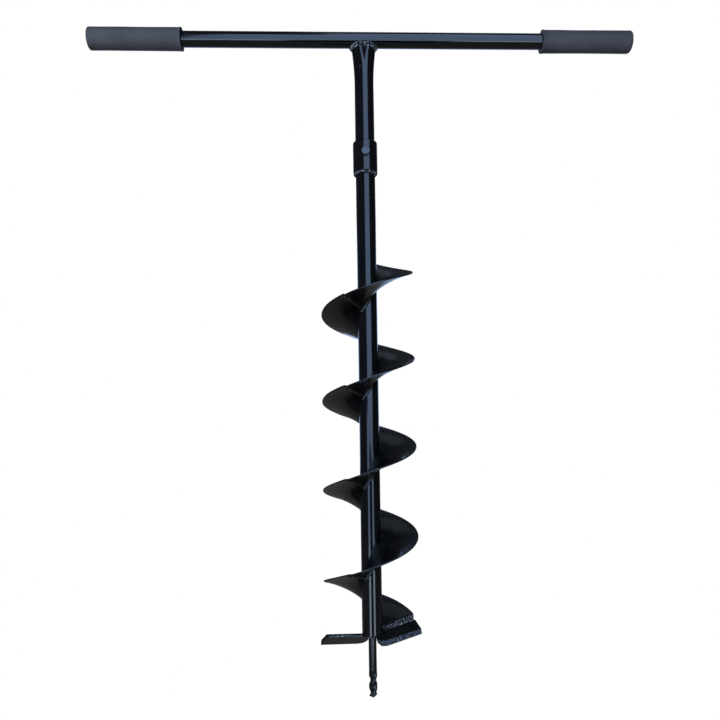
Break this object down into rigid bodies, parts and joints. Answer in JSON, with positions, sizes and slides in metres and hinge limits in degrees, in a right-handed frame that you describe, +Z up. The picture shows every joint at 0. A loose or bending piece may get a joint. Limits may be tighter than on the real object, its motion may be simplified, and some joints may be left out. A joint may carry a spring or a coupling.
{
  "type": "soil auger",
  "caption": "Manual T-handle earth auger: tube shaft with helical flight, twin cutting blades, twisted pilot point and a socketed handle clamped by a through-bolt.",
  "frame": {"origin": "the pilot's point, on the shaft's axis, which is also the centre of the bounding box's base", "axes": "+Z up along the shaft, X along the handle bar, -Y the side of the clamp bolt's head"},
  "size_m": [0.912, 0.15, 1.0848],
  "materials": {
    "black_paint": "gloss black stoved paint over steel, with fine scratches",
    "painted_weld": "rippled weld bead under gloss black paint",
    "fastener": "blue-grey satin, paint worn thin over zinc",
    "grip_rubber": "matte dark grey moulded rubber foam"
  },
  "bodies": {
    "auger": {"shaft_tube": "black_paint", "end_plug": "black_paint", "pilot_bit": "black_paint", "cutting_blade_1": "black_paint", "cutting_blade_2": "black_paint", "socket_sleeve": "black_paint", "handle_stem": "black_paint", "handle_bar": "black_paint", "flight_1": "black_paint", "flight_2": "black_paint", "flight_3": "black_paint", "flight_4": "black_paint", "flight_5": "black_paint", "flight_seam_weld_1": "painted_weld", "flight_seam_weld_2": "painted_weld", "flight_seam_weld_3": "painted_weld", "flight_seam_weld_4": "painted_weld", "flight_root_weld_1": "painted_weld", "flight_root_weld_2": "painted_weld", "flight_root_weld_3": "painted_weld", "flight_root_weld_4": "painted_weld", "blade_weld_1": "painted_weld", "blade_weld_2": "painted_weld", "pilot_weld_1": "painted_weld", "pilot_weld_2": "painted_weld", "socket_weld": "painted_weld", "handle_weld": "painted_weld", "grip_left": "grip_rubber", "grip_right": "grip_rubber"},
    "bolt": {"clamp_bolt": "fastener"},
    "washers": {"flat_washer": "fastener", "spring_washer": "fastener"},
    "nut": {"hex_nut": "fastener"}
  },
  "joints": [
    {"name": "bolt_withdraw", "type": "slide", "parent": "auger", "child": "bolt", "axis": [0, -1, 0], "range_m": [0, 0.06]},
    {"name": "nut_back_off", "type": "slide", "parent": "auger", "child": "washers", "axis": [0, 1, 0], "range_m": [0, 0.00625]},
    {"name": "nut_turn", "type": "hinge", "parent": "washers", "child": "nut", "pos_m": [0, 0, 0.8652], "axis": [0, 1, 0], "range_deg": [0, 1800]}
  ],
  "couplings": [
    {"joint": "nut_turn", "follows": "nut_back_off", "rad_per_m": 5026.5}
  ]
}
